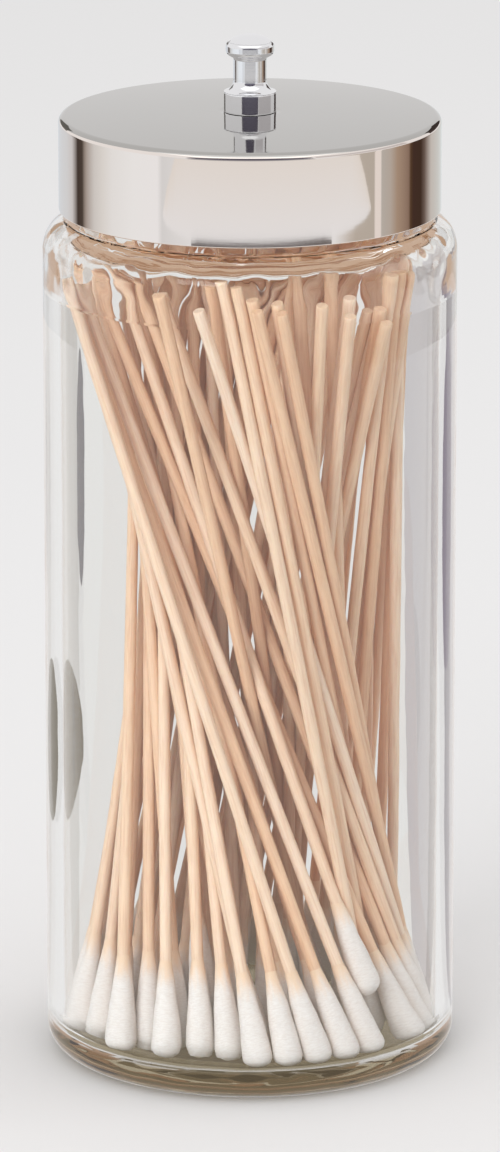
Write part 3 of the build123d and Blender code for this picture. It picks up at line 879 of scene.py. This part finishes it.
PANEL = (
    (-51.5, 80.5, 81.5), (-49, 78.5, 87), (-45, 77.4, 93), (-42, 76.9, 98), (-36, 76.4, 101),
    (55, 76.4, 101), (61, 76.8, 101), (64, 77.4, 97), (70, 78.6, 89), (74.5, 80.5, 81.5))
PANEL_COLOURS = ("#e9ecf0", "#e4e0db")
UNDER_PANEL = ((-34, 60, 75.4), (-30, 60, 76.0), (43, 60, 76.0), (48, 60, 75.4))
UNDER_COLOURS = ("#5f5b5d", "#6a6666")
LOW_STAND = ((-36, 101, 120), (-30, 101, 190), (30, 101, 190), (38, 101, 120))
LOW_COLOURS = ("#b8b8ba", "#8b8a90")
HIGH_STAND = (
    (-37, 190, 200), (-35, 190, 290), (-18, 190, 360), (0, 190, 385), (18, 190, 360), (35, 190, 290),
    (37, 190, 200))
HIGH_COLOURS = ("#6a6774", "#514b55")
# Each of these is its two angles and its colour.
KNOB_CARDS = ((38, 104, "#c9c5c5"), (132, 158, "#4a3f3c"), (-160, -138, "#77746f"))
KNOB_HEIGHTS = (190, 330)


def card_material():
    """A card that shines evenly in the colours stored on its corners."""
    material, tree = new_material("studio_card_painted")
    shade = add_node(tree, "ShaderNodeAttribute", attribute_name="shade").outputs["Color"]
    shine = add_node(tree, "ShaderNodeEmission", {"Color": shade, "Strength": 1.0})
    finish_material(tree, shine.outputs[0])
    return material


painted_card = card_material()
FOR_MIRRORS_HIDDEN_FROM = ("camera", "diffuse", "transmission", "shadow")
FOR_GLASS_HIDDEN_FROM = ("camera", "diffuse", "glossy", "shadow")


def card(name, corners, faces, shades, hidden_from):
    """A painted card of the studio, left out for some kinds of ray."""
    made = stage_mesh(name, corners, faces, painted_card)
    made.data.attributes.new("shade", "FLOAT_COLOR", "POINT").data.foreach_set("color", np.ravel(shades))
    for kind in hidden_from:
        setattr(made, "visible_" + kind, False)


def arc_card(name, distance, stations):
    """An upright card on an arc. A station is its angle, two heights and two colours."""
    corners, faces, shades = [], [], []
    rows = [
        (angle, low, high, *linear(low_colour), *linear(high_colour))
        for angle, low, high, low_colour, high_colour in stations]
    for first, last in zip(rows, rows[1:]):
        steps = max(1, math.ceil((last[0] - first[0]) / ARC_DEGREES))
        for k in range(steps + 1):
            angle, low, high, *colours = [a + (b - a) * k / steps for a, b in zip(first, last)]
            x = distance * MM * math.sin(math.radians(angle))
            y = -distance * MM * math.cos(math.radians(angle))
            corners += [(x, y, low * MM), (x, y, high * MM)]
            shades += [colours[:4], colours[4:]]
            if k:
                faces.append((len(corners) - 4, len(corners) - 2, len(corners) - 1, len(corners) - 3))
    card(name, corners, faces, shades, FOR_MIRRORS_HIDDEN_FROM)
    print(name, len(faces), "faces")


arc_card(
    "room_cards", ROOM_DISTANCE,
    [(angle, *ROOM_HEIGHTS, colour, colour) for angle, colour in ROOM_COLOURS])
for name, stations, colours in (
        ("front_panel", PANEL, PANEL_COLOURS), ("strip_under_panel", UNDER_PANEL, UNDER_COLOURS),
        ("low_front_stand", LOW_STAND, LOW_COLOURS), ("high_front_stand", HIGH_STAND, HIGH_COLOURS)):
    arc_card(name, PANEL_DISTANCE, [(*station, *colours) for station in stations])
for k, (first, last, colour) in enumerate(KNOB_CARDS):
    arc_card(
        "knob_card_" + str(k + 1), ROOM_DISTANCE,
        [(angle, *KNOB_HEIGHTS, colour, colour) for angle in (first, last)])

# %% [markdown]
# A white card hangs high in front, as bright as a softbox. The rounded rim and the knob pick it
# up as their white lines.

# %% White card overhead
OVERHEAD_HALF_WIDTH, OVERHEAD_HEIGHT = 520 * MM, 650 * MM
OVERHEAD_NEAR, OVERHEAD_FAR = -150 * MM, -900 * MM
OVERHEAD_SHINE = 1.25
overhead_corners = [
    (side * OVERHEAD_HALF_WIDTH, y, OVERHEAD_HEIGHT)
    for side, y in ((-1, OVERHEAD_FAR), (1, OVERHEAD_FAR), (1, OVERHEAD_NEAR), (-1, OVERHEAD_NEAR))]
card(
    "overhead_card", overhead_corners, [(0, 1, 2, 3)], [[OVERHEAD_SHINE] * 3 + [1]] * 4,
    FOR_MIRRORS_HIDDEN_FROM)

# %% [markdown]
# Clear glass on white shows only where it bends the view far enough to reach something dark.
# Through the edges of the wall one sees what stands behind the jar, 7 to 39 degrees out to the
# side and outside the picture. So a few grey, violet and olive ovals stand there and grey strips
# lie on the floor, and only rays that went through glass see them. Their angles are measured
# from straight back, at the edge of the jar. The strips run on for more than a metre, or the
# glass of the shoulder would show where they end.

# %% Cards that the glass bends into view
# The jar's edge, where the angles start, is this far to the side and to the back, in mm.
EDGE_START = (36, 10)
# Each strip is its side, its two angles and its colour.
FLOOR_STRIPS = (
    ("left", 12.5, 21, "#d0cecc"),
    ("right", 7, 19, "#c4c0c5"),
    ("right", 19, 31, "#918d93"),
)
STRIP_ENDS, STRIP_LIFT = (12, 1300), 0.5
# Each oval is its side, the angle of its middle and half its width in degrees, its distance, the
# height of its middle and half its height in mm, and its colour.
OVALS = (
    ("left", 11.2, 1.6, 250, 46, 27, "#6f6e73"),
    ("left", 24, 14, 120, 22, 17, "#595036"),
    ("left", 16.2, 1.2, 116, 24, 11, "#3d3626"),
    ("right", 28, 9, 250, 38, 40, "#675a70"),
)
OVAL_CORNERS = 24


def beside_the_jar(side, angle, distance, height):
    """A place behind the jar in metres, out from the jar's edge at an angle from straight back."""
    x = EDGE_START[0] + distance * math.sin(math.radians(angle))
    y = EDGE_START[1] + distance * math.cos(math.radians(angle))
    return ((x if side == "right" else -x) * MM, y * MM, height * MM)


def edge_card(name, corners, colour):
    """A flat card that only rays bent by the glass can see."""
    card(
        name, corners, [tuple(range(len(corners)))], [linear(colour)] * len(corners),
        FOR_GLASS_HIDDEN_FROM)


near, far = STRIP_ENDS
for k, (side, first, last, colour) in enumerate(FLOOR_STRIPS):
    corners = [
        beside_the_jar(side, angle, distance, STRIP_LIFT)
        for angle, distance in ((first, near), (last, near), (last, far), (first, far))]
    edge_card("floor_strip_" + str(k + 1), corners, colour)
for k, (side, angle, half_angle, distance, height, half_height, colour) in enumerate(OVALS):
    ways = [math.tau * step / OVAL_CORNERS for step in range(OVAL_CORNERS)]
    corners = [
        beside_the_jar(
            side, angle + half_angle * math.cos(way), distance, height + half_height * math.sin(way))
        for way in ways]
    edge_card("oval_" + str(k + 1), corners, colour)
print("edge cards:", len(FLOOR_STRIPS) + len(OVALS))

scene.view_settings.view_transform = "Standard"
